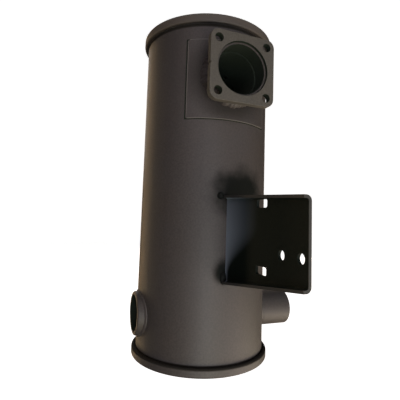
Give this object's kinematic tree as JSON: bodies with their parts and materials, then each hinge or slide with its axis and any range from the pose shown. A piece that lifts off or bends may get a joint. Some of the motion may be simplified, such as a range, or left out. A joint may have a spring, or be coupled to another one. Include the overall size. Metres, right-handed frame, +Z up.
{
  "type": "muffler",
  "caption": "Upright cylindrical exhaust muffler with seamed end caps, a flanged side inlet, low side ports and a welded bracket.",
  "frame": {"origin": "on the body's axis, in the plane of the bottom rim that it stands on", "axes": "+Z up along the body's axis, -Y out of the inlet flange and along the bracket, +X out of the outlet stub"},
  "size_m": [0.199, 0.2905, 0.3825],
  "materials": {
    "body_paint": "heat-resistant dark brown-grey paint, satin",
    "flange_paint": "heat-resistant dark grey paint, satin, on machined plate",
    "bracket_paint": "heat-resistant near-black paint, satin",
    "weld_paint": "weld beads under the same satin paint",
    "inner_steel": "bare mild steel tube and sheet, dull"
  },
  "bodies": {
    "root": {"shell": "body_paint", "shell_seam": "body_paint", "top_cap": "body_paint", "bottom_cap": "body_paint", "inlet_pad": "body_paint", "inlet_neck": "body_paint", "outlet_collar": "body_paint", "outlet_stub": "body_paint", "inlet_flange": "flange_paint", "mounting_bracket": "bracket_paint", "inlet_flange_weld": "weld_paint", "inlet_neck_weld": "weld_paint", "outlet_collar_weld": "weld_paint", "outlet_stub_weld": "weld_paint", "bracket_weld_back": "weld_paint", "bracket_weld_top": "weld_paint", "bracket_weld_bottom": "weld_paint", "outlet_pickup": "inner_steel", "upper_baffle": "inner_steel", "lower_baffle": "inner_steel", "inlet_diffuser": "inner_steel", "diffuser_plug": "inner_steel", "transfer_tube_1": "inner_steel", "transfer_tube_2": "inner_steel", "transfer_tube_3": "inner_steel"}
  },
  "joints": []
}
